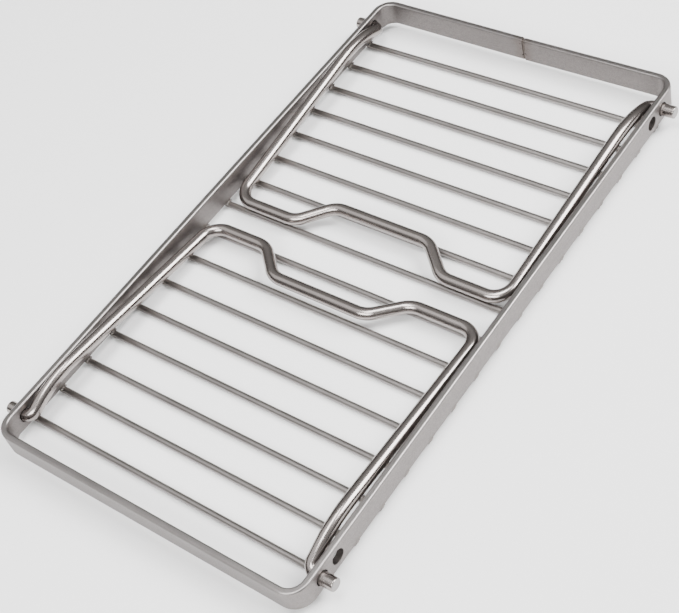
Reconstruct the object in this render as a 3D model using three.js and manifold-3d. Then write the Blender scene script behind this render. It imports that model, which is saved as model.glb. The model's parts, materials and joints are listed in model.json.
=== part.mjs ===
// A wire rack with two folding legs, in millimetres, +Z up.
// It lies on its wires with both legs folded down inside the frame.
// X runs across the frame, Y along it. The origin is at the middle of the box's bottom face.
import * as THREE from "three";
import { mergeVertices } from "three/addons/utils/BufferGeometryUtils.js";
import Module from "manifold-3d";

// The frame: one flat bar on edge, bent into a rounded rectangle.
const frameWidth = 160;
const frameLength = 290;
const barHeight = 12;
const barThickness = 3;
const cornerRadius = 9; // on the outside of the bend
const edgeBreak = 0.5; // the bar's long edges are broken by this much

// The cross wires, welded under the long sides.
const wireCount = 16;
const wireDiameter = 3;
const wireEndInset = 1.3; // from the bar's outer face to the wire's cut end
const wireToBarGap = 0.05;
const frontWireGap = 15.4; // from the short side's inner face to the first wire's axis
const rearWireGap = 17.4; // and from the last wire's axis to the other short side

// The legs: one round rod each, whose ends are the hinge pins.
const rodDiameter = 5.6;
const pinProud = 6.2; // how far a pin stands out of the frame
const pivotInset = 14.8; // from the frame's short end to the pivot's axis
const pivotHeight = 6.1; // above the bar's lower edge
const pinClearance = 0.35; // between the pin and its hole, all round
const spareHolePitch = 9.8; // from a pivot hole to the spare hole beside it
const armToBarGap = 0.6; // beside the pin, where the arm is closest to the bar
const armSplay = 2.1; // each arm leans out by this much from its foot to its pin
const kneeReach = 16.5; // from the pivot to where the arm bends, along the frame
const kneeRise = 6.9; // and how far above the pivot that bend is
const footSetback = 9; // from the frame's middle to the foot bar
const footToWireGap = 0.3;
const notchDepth = 13.5;
const notchSpan = 64; // between the middles of the notch's two slopes
const notchOffset = 1.3; // the notch is bent this far to the left of the leg's middle
const notchSlope = 43; // degrees

// Bend radii of the rod's centre line.
const pinBend = 4;
const kneeBend = 50;
const footBend = 9;
const notchBend = 11;

// How finely round things are cut.
const rodSides = 16;
const wireSides = 12;
const holeSides = 32;
const cornerSteps = 5;
const bendStep = 12; // degrees

const rodRadius = rodDiameter / 2;
const barBottom = wireDiameter + wireToBarGap;
const pivotY = frameLength / 2 - pivotInset;
const pivotZ = barBottom + pivotHeight;
const armPinX = frameWidth / 2 - barThickness - armToBarGap - rodRadius;
const armFootX = armPinX - armSplay;
const degree = Math.PI / 180;

const wasm = await Module();
wasm.setup();

const frameSteel = new THREE.MeshStandardMaterial({ color: 0xa59e9b, roughness: 0.38, metalness: 1 });
const wireSteel = new THREE.MeshStandardMaterial({ color: 0x9f9a96, roughness: 0.34, metalness: 1 });
const rodSteel = new THREE.MeshStandardMaterial({ color: 0xb4aea9, roughness: 0.24, metalness: 1 });

// A closed geometry as a solid that can be cut.
function solidOf(geometry) {
  const bare = geometry.index ? geometry.toNonIndexed() : geometry.clone();
  bare.deleteAttribute("normal");
  bare.deleteAttribute("uv");
  const merged = mergeVertices(bare, 1e-4);
  const mesh = new wasm.Mesh({
    numProp: 3,
    vertProperties: merged.attributes.position.array,
    triVerts: new Uint32Array(merged.index.array),
  });
  return new wasm.Manifold(mesh);
}

// A solid back as a geometry.
function geometryOf(solid) {
  const mesh = solid.getMesh();
  const geometry = new THREE.BufferGeometry();
  geometry.setAttribute("position", new THREE.BufferAttribute(mesh.vertProperties, 3));
  geometry.setIndex(new THREE.BufferAttribute(mesh.triVerts, 1));
  geometry.computeVertexNormals();
  return geometry;
}

function namedMesh(name, geometry, material) {
  const mesh = new THREE.Mesh(geometry, material);
  mesh.name = name;
  return mesh;
}

// A rectangle with round corners, centred on the origin.
function roundedRectangle(outline, width, length, radius) {
  const x = width / 2 - radius;
  const y = length / 2 - radius;
  outline.absarc(x, -y, radius, -Math.PI / 2, 0, false);
  outline.absarc(x, y, radius, 0, Math.PI / 2, false);
  outline.absarc(-x, y, radius, Math.PI / 2, Math.PI, false);
  outline.absarc(-x, -y, radius, Math.PI, (3 * Math.PI) / 2, false);
  outline.closePath();
  return outline;
}

// A round cutter across the whole frame, for one hole in each long side.
function crossDrill(y, z, radius) {
  const drill = new THREE.CylinderGeometry(radius, radius, 2 * frameWidth, holeSides);
  drill.rotateZ(Math.PI / 2);
  drill.translate(0, y, z);
  return solidOf(drill);
}

function frameHoop() {
  const outside = roundedRectangle(new THREE.Shape(), frameWidth, frameLength, cornerRadius);
  const innerWidth = frameWidth - 2 * barThickness;
  const innerLength = frameLength - 2 * barThickness;
  const innerRadius = cornerRadius - barThickness;
  outside.holes.push(roundedRectangle(new THREE.Path(), innerWidth, innerLength, innerRadius));
  const bar = new THREE.ExtrudeGeometry(outside, {
    depth: barHeight - 2 * edgeBreak,
    curveSegments: cornerSteps,
    bevelSegments: 1,
    bevelSize: edgeBreak,
    bevelOffset: -edgeBreak,
    bevelThickness: edgeBreak,
  });
  bar.translate(0, 0, barBottom + edgeBreak);
  let hoop = solidOf(bar);
  const holeRadius = rodRadius + pinClearance;
  for (const end of [-1, 1]) {
    for (const y of [pivotY, pivotY - spareHolePitch]) {
      hoop = hoop.subtract(crossDrill(end * y, pivotZ, holeRadius));
    }
  }
  return namedMesh("frame_hoop", geometryOf(hoop), frameSteel);
}

// The wires are evenly spaced between the first and the last.
function crossWire(number) {
  const firstY = -frameLength / 2 + barThickness + frontWireGap;
  const lastY = frameLength / 2 - barThickness - rearWireGap;
  const y = firstY + ((lastY - firstY) * (number - 1)) / (wireCount - 1);
  const length = frameWidth - 2 * wireEndInset;
  const wire = new THREE.CylinderGeometry(wireDiameter / 2, wireDiameter / 2, length, wireSides);
  const name = "cross_wire_" + String(number).padStart(2, "0");
  const mesh = namedMesh(name, wire, wireSteel);
  mesh.rotation.z = Math.PI / 2;
  mesh.position.set(0, y, wireDiameter / 2);
  return mesh;
}

// A rod's centre line: straight runs joined by arcs, with a station at each end of a straight and at
// even angles round each bend. A corner is { at, radius }, and the two ends have no radius.
class BentRod extends THREE.Curve {
  constructor(corners) {
    super();
    this.points = [];
    this.tangents = [];
    const last = corners.length - 1;
    this.station(corners[0].at, direction(corners[0].at, corners[1].at));
    for (let i = 1; i < last; i++) {
      this.bend(corners[i - 1].at, corners[i].at, corners[i + 1].at, corners[i].radius);
    }
    this.station(corners[last].at, direction(corners[last - 1].at, corners[last].at));
    this.steps = this.points.length - 1;
  }
  station(point, tangent) {
    this.points.push(point.clone());
    this.tangents.push(tangent.clone());
  }
  bend(before, corner, after, radius) {
    const into = direction(before, corner);
    const out = direction(corner, after);
    const angle = into.angleTo(out);
    const start = corner.clone().addScaledVector(into, -radius * Math.tan(angle / 2));
    const inward = out.clone().addScaledVector(into, -into.dot(out)).normalize();
    const count = Math.max(2, Math.ceil(angle / (bendStep * degree)));
    for (let i = 0; i <= count; i++) {
      const turned = (angle * i) / count;
      const point = start.clone().addScaledVector(into, radius * Math.sin(turned));
      point.addScaledVector(inward, radius * (1 - Math.cos(turned)));
      const tangent = into.clone().multiplyScalar(Math.cos(turned));
      this.station(point, tangent.addScaledVector(inward, Math.sin(turned)));
    }
  }
  getPointAt(u) {
    return this.points[Math.round(u * this.steps)].clone();
  }
  getTangentAt(u) {
    return this.tangents[Math.round(u * this.steps)].clone();
  }
}

function direction(from, to) {
  return to.clone().sub(from).normalize();
}

// The leg in its own frame: the pivot's axis is X, and the folded arms run along +Y.
// The arms rise from the pins to the knee, then slope down to the foot bar, which is notched.
function legCorners() {
  const footY = pivotY - footSetback;
  const footZ = wireDiameter + footToWireGap + rodRadius - pivotZ;
  const slope = (kneeRise - footZ) / (footY - kneeReach);
  const notchY = footY - notchDepth;
  const notchZ = footZ + notchDepth * slope;
  const halfRun = notchDepth / Math.tan(notchSlope * degree) / 2;
  const kneeX = armPinX - (armSplay * kneeReach) / footY;
  const half = (side) => {
    const footX = side * (notchSpan / 2 + halfRun) - notchOffset;
    const notchX = side * (notchSpan / 2 - halfRun) - notchOffset;
    return [
      { at: new THREE.Vector3(side * (frameWidth / 2 + pinProud), 0, 0) },
      { at: new THREE.Vector3(side * armPinX, 0, 0), radius: pinBend },
      { at: new THREE.Vector3(side * kneeX, kneeReach, kneeRise), radius: kneeBend },
      { at: new THREE.Vector3(side * armFootX, footY, footZ), radius: footBend },
      { at: new THREE.Vector3(footX, footY, footZ), radius: notchBend },
      { at: new THREE.Vector3(notchX, notchY, notchZ), radius: notchBend },
    ];
  };
  return [...half(1), ...half(-1).reverse()];
}

function legGeometry() {
  const centreLine = new BentRod(legCorners());
  const section = new THREE.Shape();
  section.absarc(0, 0, rodRadius, 0, 2 * Math.PI, false);
  return new THREE.ExtrudeGeometry(section, {
    steps: centreLine.steps,
    curveSegments: rodSides / 2,
    bevelEnabled: false,
    extrudePath: centreLine,
  });
}

// The legs are the same bent rod: the rear one is turned half round.
function leg(name, end) {
  const mesh = namedMesh(name, legGeometry(), rodSteel);
  mesh.position.set(0, end * pivotY, pivotZ);
  mesh.rotation.z = end > 0 ? Math.PI : 0;
  return mesh;
}

const rack = new THREE.Group();
rack.add(frameHoop());
for (let number = 1; number <= wireCount; number++) rack.add(crossWire(number));
rack.add(leg("front_leg", -1));
rack.add(leg("rear_leg", 1));

export default rack;
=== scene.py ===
import json
import math

import bmesh
import bpy
from mathutils import Matrix, Vector
from mathutils.kdtree import KDTree


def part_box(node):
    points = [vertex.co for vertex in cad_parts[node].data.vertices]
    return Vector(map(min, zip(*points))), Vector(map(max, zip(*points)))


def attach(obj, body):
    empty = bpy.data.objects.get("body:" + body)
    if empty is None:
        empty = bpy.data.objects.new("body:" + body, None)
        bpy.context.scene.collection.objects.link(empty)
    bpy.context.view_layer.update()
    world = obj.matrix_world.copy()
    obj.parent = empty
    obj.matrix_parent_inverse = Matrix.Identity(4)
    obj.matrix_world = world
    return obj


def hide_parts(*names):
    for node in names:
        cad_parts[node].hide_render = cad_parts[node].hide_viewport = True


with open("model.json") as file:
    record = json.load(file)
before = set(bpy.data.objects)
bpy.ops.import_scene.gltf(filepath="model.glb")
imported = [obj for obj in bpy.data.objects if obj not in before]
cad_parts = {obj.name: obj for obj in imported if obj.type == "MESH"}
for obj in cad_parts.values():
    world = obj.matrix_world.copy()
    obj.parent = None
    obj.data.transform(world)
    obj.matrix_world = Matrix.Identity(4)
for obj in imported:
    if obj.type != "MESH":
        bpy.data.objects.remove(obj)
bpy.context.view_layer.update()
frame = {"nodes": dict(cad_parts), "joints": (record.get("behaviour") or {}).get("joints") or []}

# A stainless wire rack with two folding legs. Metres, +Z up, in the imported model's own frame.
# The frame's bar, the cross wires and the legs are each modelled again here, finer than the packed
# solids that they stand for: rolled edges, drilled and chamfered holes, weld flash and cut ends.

MM = 0.001
TOUCH = 0.01 * MM  # how near a place counts as on it

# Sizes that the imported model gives.
hoop_low, hoop_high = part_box("frame_hoop")
wire_low, wire_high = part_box("cross_wire_01")
last_wire_low, last_wire_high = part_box("cross_wire_16")
_, leg_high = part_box("front_leg")
pivots = {joint["child"]: Vector(joint["pos_m"]) for joint in frame["joints"]}
pivot = pivots["rear_leg_body"]
hoop_width = hoop_high.x - hoop_low.x
hoop_length = hoop_high.y - hoop_low.y
bar_height = hoop_high.z - hoop_low.z
wire_radius = (wire_high.z - wire_low.z) / 2
wire_count = sum(1 for node in frame["nodes"] if node.startswith("cross_wire_"))
first_wire_y = (wire_low.y + wire_high.y) / 2
last_wire_y = (last_wire_low.y + last_wire_high.y) / 2
wire_pitch = (last_wire_y - first_wire_y) / (wire_count - 1)

# Sizes of the bar, as in the part.
bar_thickness = 3 * MM
corner_radius = 9 * MM
hole_radius = 3.15 * MM
spare_hole_pitch = 9.8 * MM
hole_distances = (pivot.y, pivot.y - spare_hole_pitch)
rolled_edge = 0.85 * MM
hole_chamfer = 0.32 * MM
hole_sides = 64

# The butt weld that closes the bar, on the rear short side.
seam_x = 2 * MM
seam_gap = 0.5 * MM
seam_step = -0.6 * MM
seam_shift = 0.3 * MM
seam_end_bevel = 0.15 * MM
weld_reach = 0.9 * MM
weld_thinner = 0.3 * MM
weld_lower = 0.7 * MM
weld_edge = 0.7 * MM
weld_steps = 6

# Sizes of a leg's rod, as in the part.
rod_radius = 2.8 * MM
arm_pin_x = 73.6 * MM
arm_splay = 2.1 * MM
knee_reach = 16.5 * MM
knee_rise = 6.9 * MM
foot_setback = 9 * MM
foot_to_wire_gap = 0.3 * MM
notch_depth = 13.5 * MM
notch_span = 64 * MM
notch_offset = 1.3 * MM
notch_slope = math.radians(43)
pin_bend = 4 * MM
knee_bend = 50 * MM
foot_bend = 9 * MM
notch_bend = 11 * MM
rod_end_bevel = 0.6 * MM
rod_sides = 48

# Sizes of a cross wire's ends and of the flash of its welds.
wire_end_bevel = 0.35 * MM
wire_sides = 32
flash_sink = 0.12 * MM
flash_roughness = 0.03 * MM

FACING_X = (0, math.pi / 2, 0)
BEND_STEP = math.radians(5)


# ---- Modelling ----


def begin(name):
    """The new primitive becomes a piece with its place in its mesh, open in edit mode."""
    piece = bpy.context.active_object
    piece.name = name
    piece.data.name = name
    bpy.ops.object.transform_apply(location=True, rotation=True, scale=True)
    bpy.ops.object.mode_set(mode="EDIT")
    return piece


def end():
    """Leaves edit mode with the faces pointing out."""
    bpy.ops.mesh.select_all(action="SELECT")
    bpy.ops.mesh.normals_make_consistent(inside=False)
    bpy.ops.object.mode_set(mode="OBJECT")


def choose(kind, test):
    """Selects the open mesh's edges or faces that pass a test."""
    piece = bpy.context.active_object
    bpy.ops.mesh.select_mode(type=kind)
    bpy.ops.mesh.select_all(action="DESELECT")
    mesh = bmesh.from_edit_mesh(piece.data)
    for element in mesh.edges if kind == "EDGE" else mesh.faces:
        if test(element):
            element.select_set(True)
    bmesh.update_edit_mesh(piece.data)


def only(piece):
    """Makes a piece the one that is selected and active."""
    bpy.ops.object.select_all(action="DESELECT")
    piece.select_set(True)
    bpy.context.view_layer.objects.active = piece


def apply_modifier(piece, kind, **settings):
    only(piece)
    modifier = piece.modifiers.new(kind.lower(), kind)
    for key, value in settings.items():
        setattr(modifier, key, value)
    bpy.ops.object.modifier_apply(modifier=modifier.name)


def cut(piece, tool, operation="DIFFERENCE"):
    """Cuts a piece with a tool, or joins the tool to it, and removes the tool."""
    apply_modifier(piece, "BOOLEAN", object=tool, operation=operation, solver="EXACT")
    bpy.data.objects.remove(tool)


def smooth(piece, degrees=32):
    """Shades a piece smooth, with its edges sharper than an angle kept."""
    only(piece)
    bpy.ops.object.shade_smooth_by_angle(angle=math.radians(degrees))
    apply_modifier(piece, "WEIGHTED_NORMAL", keep_sharp=True, weight=90)


def bend(before, corner, after, radius):
    """Where a bend starts and ends, and its centre, axis and angle."""
    into = (corner - before).normalized()
    out = (after - corner).normalized()
    angle = into.angle(out)
    reach = radius * math.tan(angle / 2)
    axis = into.cross(out).normalized()
    start = corner - into * reach
    return start, corner + out * reach, start + axis.cross(into) * radius, axis, angle


def sweep(corners):
    """Pulls the chosen face along straight runs and bends. A corner is a place and a bend radius."""
    here = corners[0][0]
    for (before, _), (corner, radius), (after, _) in zip(corners, corners[1:], corners[2:]):
        start, stop, centre, axis, angle = bend(before, corner, after, radius)
        bpy.ops.mesh.extrude_region_move(TRANSFORM_OT_translate={"value": start - here})
        steps = max(3, math.ceil(angle / BEND_STEP))
        bpy.ops.mesh.spin(steps=steps, angle=-angle, center=centre, axis=axis)
        here = stop
    bpy.ops.mesh.extrude_region_move(TRANSFORM_OT_translate={"value": corners[-1][0] - here})


def stations(corners, step=0.5 * MM):
    """Close-set points along the swept line, each with its distance, direction and side."""
    points = [corners[0][0]]
    for (before, _), (corner, radius), (after, _) in zip(corners, corners[1:], corners[2:]):
        start, _, centre, axis, angle = bend(before, corner, after, radius)
        count = max(3, math.ceil(radius * angle / step))
        arm = start - centre
        points += [centre + Matrix.Rotation(angle * i / count, 3, axis) @ arm for i in range(count + 1)]
    points.append(corners[-1][0])
    fine = [points[0]]
    for a, b in zip(points, points[1:]):
        count = max(1, math.ceil((b - a).length / step))
        fine += [a.lerp(b, i / count) for i in range(1, count + 1)]
    made, distance, side = [], 0, Vector((0, 0, 1))
    for a, b in zip(fine, fine[1:]):
        along = (b - a).normalized()
        side = (side - along * side.dot(along)).normalized()
        made.append(((a + b) / 2, distance + (b - a).length / 2, along, side))
        distance += (b - a).length
    return made


def mark_grain(piece, corners):
    """Stores on each point how far along its stock it lies, and where in the stock's section."""
    line = stations(corners)
    tree = KDTree(len(line))
    for i, (point, _, _, _) in enumerate(line):
        tree.insert(point, i)
    tree.balance()
    grain = piece.data.attributes.new("grain", "FLOAT_VECTOR", "POINT")
    for vertex, value in zip(piece.data.vertices, grain.data):
        point, distance, along, side = line[tree.find(vertex.co)[1]]
        offset = vertex.co - point
        value.vector = (distance + offset.dot(along), offset.dot(side), offset.dot(along.cross(side)))


def circle_face(radius, place, sides):
    """A round stock's section."""
    bpy.ops.mesh.primitive_circle_add(
        vertices=sides, radius=radius, fill_type="NGON", location=place, rotation=FACING_X
    )


def bar_face(place, width, height, edge):
    """The flat bar's section: a plane at its size, with its corners rounded."""
    bpy.ops.mesh.primitive_plane_add(size=1, location=place, rotation=FACING_X)
    bpy.context.active_object.scale = (height, width, 1)
    piece = begin("section")
    bpy.ops.mesh.select_all(action="SELECT")
    bpy.ops.mesh.bevel(offset=edge, segments=7, affect="VERTICES")
    bpy.ops.mesh.select_all(action="SELECT")
    return piece


# ---- The frame's bar ----


def bar_corners():
    """The bar's middle line, from one side of the seam all the way round to the other."""
    x = (hoop_width - bar_thickness) / 2
    y = (hoop_length - bar_thickness) / 2
    z = (hoop_low.z + hoop_high.z) / 2
    radius = corner_radius - bar_thickness / 2
    corners = [(Vector((seam_x - seam_gap / 2, y - seam_shift, z)), 0)]
    for side, end_side in ((-1, 1), (-1, -1), (1, -1), (1, 1)):
        corners.append((Vector((side * x, end_side * y, z)), radius))
    corners.append((Vector((seam_x + seam_gap / 2, y, z + seam_step)), 0))
    return corners


def is_hole_rim(edge):
    """Whether an edge runs round a hole, on one of the bar's faces."""
    for end_side in (-1, 1):
        for hole_y in hole_distances:
            reach = [
                math.hypot(v.co.y - end_side * hole_y, v.co.z - pivot.z) - hole_radius
                for v in edge.verts
            ]
            flat = abs(edge.verts[0].co.x - edge.verts[1].co.x) < TOUCH
            if flat and max(map(abs, reach)) < TOUCH:
                return True
    return False


def make_bar():
    corners = bar_corners()
    bar = bar_face(corners[0][0], bar_thickness, bar_height, rolled_edge)
    sweep(corners)
    seam_faces = [corners[0][0].x, corners[-1][0].x]
    y_side = corners[0][0].y - bar_thickness

    def is_cap(face):
        middle = face.calc_center_median()
        at_seam = min(abs(middle.x - x) for x in seam_faces) < TOUCH
        return at_seam and middle.y > y_side and len(face.verts) > 8

    choose("FACE", is_cap)
    bpy.ops.mesh.region_to_loop()
    bpy.ops.mesh.bevel(offset=seam_end_bevel, segments=2, affect="EDGES")
    end()
    for end_side in (-1, 1):
        for hole_y in hole_distances:
            place = (0, end_side * hole_y, pivot.z)
            bpy.ops.mesh.primitive_cylinder_add(
                vertices=hole_sides,
                radius=hole_radius,
                depth=2 * hoop_width,
                location=place,
                rotation=FACING_X,
            )
            begin("drill")
            end()
            cut(bar, bpy.context.active_object)
    only(bar)
    bpy.ops.object.mode_set(mode="EDIT")
    choose("EDGE", is_hole_rim)
    bpy.ops.mesh.bevel(offset=hole_chamfer, segments=2, affect="EDGES")
    end()
    bar.name = "frame_bar"
    bar.data.name = "frame_bar"
    smooth(bar)
    mark_grain(bar, corners)
    return bar


def make_seam_weld():
    """The weld metal between the bar's two ends, ground almost flush."""
    ends = bar_corners()
    middle = (ends[0][0] + ends[-1][0]) / 2
    place = middle - Vector((weld_reach, 0, 0))
    weld = bar_face(place, bar_thickness - weld_thinner, bar_height - weld_lower, weld_edge)
    for _ in range(weld_steps):
        step = {"value": (2 * weld_reach / weld_steps, 0, 0)}
        bpy.ops.mesh.extrude_region_move(TRANSFORM_OT_translate=step)
    end()
    weld.name = "seam_weld"
    weld.data.name = "seam_weld"
    smooth(weld)
    mark_grain(weld, [(place, 0), (middle + Vector((weld_reach, 0, 0)), 0)])
    return weld


# ---- The cross wires ----


def make_wire():
    """One cross wire at the middle of the frame, with the flash of its two welds."""
    reach = wire_high.x
    line = [(Vector((side * reach, 0, wire_radius)), 0) for side in (1, -1)]
    circle_face(wire_radius, line[0][0], wire_sides)
    wire = begin("wire")
    bpy.ops.mesh.select_all(action="SELECT")
    sweep(line)
    choose("FACE", lambda face: abs(face.calc_center_median().x) > reach - TOUCH)
    bpy.ops.mesh.region_to_loop()
    bpy.ops.mesh.bevel(offset=wire_end_bevel, segments=3, affect="EDGES")
    end()
    inner_face = hoop_high.x - bar_thickness
    for side in (-1, 1):
        # Flash is squeezed out beside the wire, along both of the bar's lower edges. Each lump has its
        # place along the wire and across it, and its half sizes in millimetres.
        lumps = [
            (inner_face - 0.15 * MM, 1.2 * MM, (0.6, 0.85, 0.5)),
            (inner_face - 0.1 * MM, -1.25 * MM, (0.55, 0.7, 0.45)),
            (hoop_high.x - 0.75 * MM, 1.2 * MM, (0.6, 0.75, 0.5)),
            (hoop_high.x - 0.8 * MM, -1.15 * MM, (0.55, 0.85, 0.5)),
            (inner_face + 1.4 * MM, 0, (1.7, 1.9, 0.45)),
        ]
        for x, y, size in lumps:
            place = (side * x, side * y, 2 * wire_radius - flash_sink)
            bpy.ops.mesh.primitive_ico_sphere_add(subdivisions=3, radius=MM, location=place)
            bpy.context.active_object.scale = size
            lump = begin("lump")
            bpy.ops.mesh.select_all(action="SELECT")
            bpy.ops.transform.vertex_random(offset=flash_roughness, seed=3)
            end()
            cut(wire, lump, "UNION")
    smooth(wire, 40)
    mark_grain(wire, line)
    return wire


def copy_wire(wire, number):
    """The pattern wire at its place, turned end for end on every odd place."""
    name = f"wire_{number:02d}"
    copy = bpy.data.objects.new(name, wire.data.copy())
    copy.data.name = name
    bpy.context.scene.collection.objects.link(copy)
    turned = Matrix.Rotation(math.pi * (number % 2), 4, "Z")
    place = Matrix.Translation((0, first_wire_y + (number - 1) * wire_pitch, 0))
    copy.data.transform(place @ turned)
    return copy


# ---- The legs ----


def leg_corners(end_side):
    """A leg's middle line, from pin to pin. The rear leg is the front one turned half round."""
    foot_y = pivot.y - foot_setback
    foot_z = 2 * wire_radius + foot_to_wire_gap + rod_radius - pivot.z
    slope = (knee_rise - foot_z) / (foot_y - knee_reach)
    notch_y = foot_y - notch_depth
    notch_z = foot_z + notch_depth * slope
    half_run = notch_depth / math.tan(notch_slope) / 2
    knee_x = arm_pin_x - arm_splay * knee_reach / foot_y

    def half(side):
        return [
            ((side * leg_high.x, 0, 0), 0),
            ((side * arm_pin_x, 0, 0), pin_bend),
            ((side * knee_x, knee_reach, knee_rise), knee_bend),
            ((side * (arm_pin_x - arm_splay), foot_y, foot_z), foot_bend),
            ((side * (notch_span / 2 + half_run) - notch_offset, foot_y, foot_z), notch_bend),
            ((side * (notch_span / 2 - half_run) - notch_offset, notch_y, notch_z), notch_bend),
        ]

    turned = Matrix.Rotation(math.pi if end_side > 0 else 0, 3, "Z")
    place = Vector((0, end_side * pivot.y, pivot.z))
    corners = half(1) + half(-1)[::-1]
    return [(place + turned @ Vector(at), radius) for at, radius in corners]


def make_leg(name, end_side):
    corners = leg_corners(end_side)
    circle_face(rod_radius, corners[0][0], rod_sides)
    leg = begin(name)
    bpy.ops.mesh.select_all(action="SELECT")
    sweep(corners)
    choose("FACE", lambda face: abs(face.calc_center_median().x) > leg_high.x - TOUCH)
    bpy.ops.mesh.region_to_loop()
    bpy.ops.mesh.bevel(offset=rod_end_bevel, segments=4, affect="EDGES")
    end()
    smooth(leg, 40)
    mark_grain(leg, corners)
    return leg


# ---- Finishes ----


class Out:
    """A node's output, for use in sums."""

    def __init__(self, finish, socket):
        self.finish = finish
        self.socket = socket

    def __add__(self, other):
        return self.finish.sum("ADD", self, other)

    def __sub__(self, other):
        return self.finish.sum("SUBTRACT", self, other)

    def __rsub__(self, other):
        return self.finish.sum("SUBTRACT", other, self)

    def __mul__(self, other):
        return self.finish.sum("MULTIPLY", self, other)

    def __truediv__(self, other):
        return self.finish.sum("DIVIDE", self, other)

    __radd__ = __add__
    __rmul__ = __mul__


class Finish:
    """A metal's material, built as sums of textures."""

    def __init__(self, name):
        self.material = bpy.data.materials.new(name)
        self.material.use_nodes = True
        self.tree = self.material.node_tree
        self.shader = self.tree.nodes["Principled BSDF"]
        self.shader.inputs["Metallic"].default_value = 1
        self.grain = self.node("ShaderNodeAttribute", {"attribute_name": "grain"}, output="Vector")
        self.place = self.node("ShaderNodeTexCoord", output="Object")

    def node(self, kind, settings=None, inputs=None, output=0):
        made = self.tree.nodes.new(kind)
        for key, value in (settings or {}).items():
            setattr(made, key, value)
        for key, value in (inputs or {}).items():
            self.feed(made.inputs[key], value)
        return Out(self, made.outputs[output])

    def feed(self, socket, value):
        if isinstance(value, Out):
            self.tree.links.new(value.socket, socket)
        else:
            socket.default_value = value

    def sum(self, operation, first, second=0.0):
        return self.node("ShaderNodeMath", {"operation": operation}, {0: first, 1: second})

    def part(self, vector, axis):
        return self.node("ShaderNodeSeparateXYZ", inputs={0: vector}, output=axis)

    def span(self, value, low, high):
        """0 to 1 as a value goes from low to high, smoothly."""
        inputs = {"Value": value, 1: low, 2: high}
        return self.node("ShaderNodeMapRange", {"interpolation_type": "SMOOTHSTEP"}, inputs)

    def noise(self, vector, size, detail=2.0, roughness=0.5):
        """Noise with features of the given size in metres, or of one size along each axis."""
        sizes = size if isinstance(size, tuple) else (size,) * 3
        scaled = self.node(
            "ShaderNodeVectorMath",
            {"operation": "MULTIPLY"},
            {0: vector, 1: tuple(1 / s for s in sizes)},
        )
        inputs = {"Vector": scaled, "Scale": 1.0, "Detail": detail, "Roughness": roughness}
        return self.node("ShaderNodeTexNoise", inputs=inputs)

    def mix(self, share, first, second):
        """A colour between two others."""
        settings = {"data_type": "RGBA", "clamp_factor": True}
        return self.node("ShaderNodeMix", settings, {0: share, 6: first, 7: second}, output=2)

    def bump(self, height, distance, normal=None):
        """The surface's normal after a height in units of a distance, on top of another bump."""
        inputs = {"Height": height, "Distance": distance, "Strength": 1.0}
        if normal:
            inputs["Normal"] = normal
        return self.node("ShaderNodeBump", inputs=inputs)

    def set(self, **values):
        for key, value in values.items():
            self.feed(self.shader.inputs[key.replace("_", " ")], value)
        return self.material

    def weld_nearness(self):
        """From 0 to 1 towards the welds under the bar's long sides."""
        x, y, z = (self.part(self.place, axis) for axis in range(3))
        turns = (y - first_wire_y) / wire_pitch + 0.5
        away = self.sum("ABSOLUTE", self.sum("FRACT", turns) - 0.5) * wire_pitch
        ragged = away + self.noise(self.place, 1.2 * MM) * 1.6 * MM
        beside = self.span(ragged, 4.2 * MM, 1.4 * MM)
        low = self.span(z, hoop_low.z + 3.2 * MM, hoop_low.z + 0.3 * MM)
        outside = self.span(self.sum("ABSOLUTE", x), hoop_high.x - 9 * MM, hoop_high.x - 4 * MM)
        return beside * low * outside

    def bore_nearness(self):
        """1 on the walls of the pivot holes and the spare holes, and 0 on the bar's faces."""
        across = self.sum("ABSOLUTE", self.part(self.place, 1))
        up = self.part(self.place, 2) - pivot.z
        walls = []
        for hole_y in hole_distances:
            along = across - hole_y
            away = self.sum("SQRT", along * along + up * up)
            walls.append(self.span(away, hole_radius + hole_chamfer, hole_radius + 0.05 * MM))
        return walls[0] + walls[1]

    def seam_nearness(self, reach):
        """From 0 to 1 towards the butt weld on the rear short side."""
        x, y = self.part(self.place, 0), self.part(self.place, 1)
        beside = self.span(self.sum("ABSOLUTE", x - seam_x), reach, 0.2 * reach)
        return beside * self.span(y, hoop_high.y - 5 * MM, hoop_high.y - 4 * MM)


def colour(red, green, blue):
    return (red, green, blue, 1.0)


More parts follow.
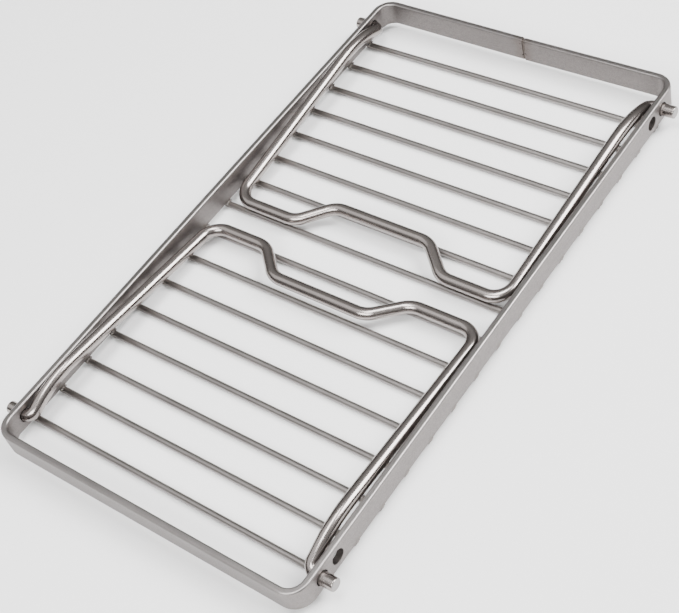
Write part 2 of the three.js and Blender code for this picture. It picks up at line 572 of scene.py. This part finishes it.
def frame_steel():
    """Satin flat bar: long rolling lines, fine grain, mottling and a painted highlight on the rolled
    edges.

    The holes' walls are darkened with painted shade, the metal is heat-marked by the welds, and the seam
    has pits."""
    steel = Finish("frame_steel")
    lines = steel.noise(steel.grain, (30 * MM, 0.16 * MM, 0.16 * MM), 3.0, 0.6)
    grit = steel.noise(steel.place, 0.35 * MM, 2.0)
    cloud = steel.noise(steel.place, 14 * MM, 3.0, 0.55)
    waves = steel.noise(steel.grain, (45 * MM, 9 * MM, 9 * MM), 1.0)
    mottle = steel.noise(steel.place, 1.8 * MM, 4.0, 0.65)
    painted_bore_shade = steel.bore_nearness()
    height = steel.part(steel.grain, 1)
    # Painted highlight: the rolled top and bottom edges get a lighter colour in place of the bright lines
    # that they catch.
    edge = steel.span(steel.sum("ABSOLUTE", height), bar_height / 2 - 0.9 * MM, bar_height / 2 - 0.1 * MM)
    tone = steel.mix(cloud, colour(0.134, 0.120, 0.115), colour(0.195, 0.179, 0.173))
    tone = steel.mix(steel.span(lines, 0.42, 0.66) * 0.3, tone, colour(0.27, 0.251, 0.243))
    tone = steel.mix(steel.span(mottle, 0.38, 0.66) * 0.3, tone, colour(0.26, 0.241, 0.234))
    tone = steel.mix(steel.span(grit, 0.42, 0.68) * 0.5, tone, colour(0.29, 0.266, 0.26))
    tone = steel.mix(edge * 0.45, tone, colour(0.36, 0.342, 0.334))
    tint = steel.weld_nearness()
    tone = steel.mix(tint * 0.4, tone, colour(0.13, 0.104, 0.086))
    # Painted shade: the walls of the pivot holes and spare holes are darkened towards near black.
    tone = steel.mix(painted_bore_shade * 0.65, tone, colour(0.06, 0.052, 0.046))
    scorch = steel.seam_nearness(7 * MM)
    tone = steel.mix(scorch * 0.4, tone, colour(0.14, 0.108, 0.092))
    specks = steel.noise(steel.place, (0.7 * MM, 1.5 * MM, 1.1 * MM), 2.0)
    pits = steel.span(specks, 0.55, 0.63) * steel.seam_nearness(2.2 * MM)
    tone = steel.mix(pits * 0.85, tone, colour(0.03, 0.025, 0.022))
    rough = 0.30 + 0.10 * cloud + 0.10 * lines + 0.10 * mottle - 0.12 * edge + 0.08 * tint + 0.2 * pits
    normal = steel.bump(waves, 0.16 * MM)
    normal = steel.bump(lines + grit, 0.009 * MM, normal)
    normal = steel.bump(1 - pits, 0.12 * MM, normal)
    return steel.set(Base_Color=tone, Roughness=rough, Normal=normal)


def wire_steel():
    """Drawn wire: fine lines along it, duller than the rods, darkened towards its welds with heat tint
    and painted shade.
    """
    steel = Finish("wire_steel")
    lines = steel.noise(steel.grain, (16 * MM, 0.12 * MM, 0.12 * MM), 3.0, 0.6)
    cloud = steel.noise(steel.place, 11 * MM, 3.0)
    waves = steel.noise(steel.grain, (24 * MM, 4 * MM, 4 * MM), 1.0)
    tone = steel.mix(cloud, colour(0.21, 0.193, 0.185), colour(0.29, 0.272, 0.262))
    tone = steel.mix(steel.span(lines, 0.4, 0.68) * 0.3, tone, colour(0.35, 0.332, 0.321))
    reach = steel.sum("ABSOLUTE", steel.part(steel.place, 0))
    # Painted shade: the wire darkens over its last 20 mm towards the bars, partly as heat tint from the
    # welds.
    heat_tint_and_shade = steel.span(reach + 8 * MM * cloud, hoop_high.x - 20 * MM, hoop_high.x - 1 * MM)
    tone = steel.mix(heat_tint_and_shade * 0.6, tone, colour(0.12, 0.107, 0.096))
    rough = 0.24 + 0.10 * cloud + 0.09 * lines + 0.10 * heat_tint_and_shade
    normal = steel.bump(waves, 0.12 * MM)
    normal = steel.bump(lines, 0.004 * MM, normal)
    return steel.set(Base_Color=tone, Roughness=rough, Normal=normal)


def rod_steel():
    """Polished rod: faint drawing lines, soft waviness, rubbed rings on the pins and ground ends."""
    steel = Finish("rod_steel")
    lines = steel.noise(steel.grain, (40 * MM, 0.18 * MM, 0.18 * MM), 3.0, 0.6)
    cloud = steel.noise(steel.place, 20 * MM, 3.0)
    waves = steel.noise(steel.grain, (30 * MM, 5 * MM, 5 * MM), 1.0)
    reach = steel.sum("ABSOLUTE", steel.part(steel.place, 0))
    in_hole = steel.span(reach, hoop_high.x - 4.2 * MM, hoop_high.x - 3.2 * MM) * steel.span(
        reach, hoop_high.x + 1.6 * MM, hoop_high.x + 0.6 * MM
    )
    rings = steel.noise(steel.place, (0.12 * MM, 4 * MM, 4 * MM), 2.0)
    cut_end = steel.span(reach, leg_high.x - 0.35 * MM, leg_high.x - 0.1 * MM)
    tone = steel.mix(cloud, colour(0.260, 0.232, 0.220), colour(0.350, 0.320, 0.306))
    tone = steel.mix(in_hole * rings * 0.6, tone, colour(0.34, 0.31, 0.29))
    tone = steel.mix(cut_end * 0.7, tone, colour(0.36, 0.35, 0.345))
    rough = 0.16 + 0.06 * cloud + 0.06 * lines + 0.16 * in_hole * rings + 0.28 * cut_end
    normal = steel.bump(waves, 0.10 * MM)
    normal = steel.bump(lines, 0.002 * MM, normal)
    grinding = steel.noise(steel.place, (1.0 * MM, 3 * MM, 0.12 * MM), 2.0)
    normal = steel.bump(grinding * cut_end, 0.02 * MM, normal)
    return steel.set(Base_Color=tone, Roughness=rough, Normal=normal)


def weld_steel():
    """Ground weld metal: darker and duller than the bar, and grainy."""
    steel = Finish("weld_steel")
    grit = steel.noise(steel.place, 0.5 * MM, 3.0)
    cloud = steel.noise(steel.place, 2.5 * MM, 2.0)
    tone = steel.mix(cloud, colour(0.085, 0.070, 0.060), colour(0.165, 0.145, 0.132))
    rough = 0.42 + 0.2 * grit
    normal = steel.bump(grit, 0.08 * MM)
    return steel.set(Base_Color=tone, Roughness=rough, Normal=normal)


# ---- Pieces on their bodies ----


def dress(piece, material, body, nodes=()):
    """Gives a piece its finish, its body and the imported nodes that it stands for."""
    piece.data.materials.clear()
    piece.data.materials.append(material)
    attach(piece, body)
    if nodes:
        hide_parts(*nodes)


bpy.ops.object.select_all(action="DESELECT")
dress(make_bar(), frame_steel(), "frame", ["frame_hoop"])
dress(make_seam_weld(), weld_steel(), "frame")

wire_finish = wire_steel()
pattern_wire = make_wire()
for number in range(1, wire_count + 1):
    node = f"cross_wire_{number:02d}"
    dress(copy_wire(pattern_wire, number), wire_finish, "frame", [node])
bpy.data.objects.remove(pattern_wire)

rod_finish = rod_steel()
for leg_name, end_side in (("front_leg", -1), ("rear_leg", 1)):
    leg = make_leg(leg_name + "_rod", end_side)
    dress(leg, rod_finish, leg_name + "_body", [leg_name])


# ---- Studio ----


def make_floor():
    bpy.ops.mesh.primitive_plane_add(size=30, location=(0, 0, -0.05 * MM))
    floor = bpy.context.active_object
    floor.name = "floor"
    paper = bpy.data.materials.new("paper")
    paper.use_nodes = True
    shader = paper.node_tree.nodes["Principled BSDF"]
    shader.inputs["Base Color"].default_value = colour(0.93, 0.93, 0.93)
    shader.inputs["Roughness"].default_value = 0.9
    shader.inputs["Specular IOR Level"].default_value = 0.1
    floor.data.materials.append(paper)


def make_softbox(name, place, aim, size, power):
    """A rectangular area light in metres and watts, turned towards its aim."""
    light = bpy.data.lights.new(name, "AREA")
    light.shape = "RECTANGLE"
    light.size, light.size_y = size
    light.energy = power
    box = bpy.data.objects.new(name, light)
    bpy.context.scene.collection.objects.link(box)
    box.location = place
    box.rotation_euler = (Vector(aim) - Vector(place)).to_track_quat("-Z", "Y").to_euler()


def make_room():
    """A grey room, brighter overhead than at the horizon."""
    world = bpy.data.worlds.new("room")
    bpy.context.scene.world = world
    world.use_nodes = True
    tree = world.node_tree
    background = tree.nodes["Background"]
    coordinates = tree.nodes.new("ShaderNodeTexCoord")
    parts = tree.nodes.new("ShaderNodeSeparateXYZ")
    ramp = tree.nodes.new("ShaderNodeValToRGB")
    ramp.color_ramp.elements[0].color = colour(0.11, 0.105, 0.10)
    ramp.color_ramp.elements[0].position = 0.12
    ramp.color_ramp.elements[1].color = colour(0.55, 0.545, 0.54)
    ramp.color_ramp.elements[1].position = 0.75
    tree.links.new(coordinates.outputs["Generated"], parts.inputs[0])
    tree.links.new(parts.outputs["Z"], ramp.inputs["Fac"])
    tree.links.new(ramp.outputs["Color"], background.inputs["Color"])
    background.inputs["Strength"].default_value = 1.0


def make_camera():
    data = bpy.data.cameras.new("camera")
    data.lens = 73.3
    data.sensor_width = 36
    camera = bpy.data.objects.new("camera", data)
    bpy.context.scene.collection.objects.link(camera)
    bpy.context.scene.camera = camera
    place = Vector((304.8, -267.6, 440.9)) * MM
    aim = Vector((10.5, -23.2, 7.0)) * MM
    roll = math.radians(19.3)
    level = (aim - place).to_track_quat("-Z", "Y").to_matrix().to_4x4()
    camera.matrix_world = Matrix.Translation(place) @ level @ Matrix.Rotation(-roll, 4, "Z")
    data.clip_start = 0.01


make_floor()
make_room()
make_softbox("side_softbox", (0.8, 0.65, 1.1), (0, 0, 0), (0.8, 0.9), 45)
make_softbox("top_softbox", (0.0, -0.1, 1.35), (0, 0, 0), (0.46, 0.8), 16)
make_softbox("left_panel", (-0.85, -0.4, 1.2), (0, 0, 0), (1.0, 1.5), 5.2)
make_softbox("front_fill", (0.1, -1.1, 1.0), (-0.1, -0.35, 0), (0.9, 0.6), 20)
make_camera()
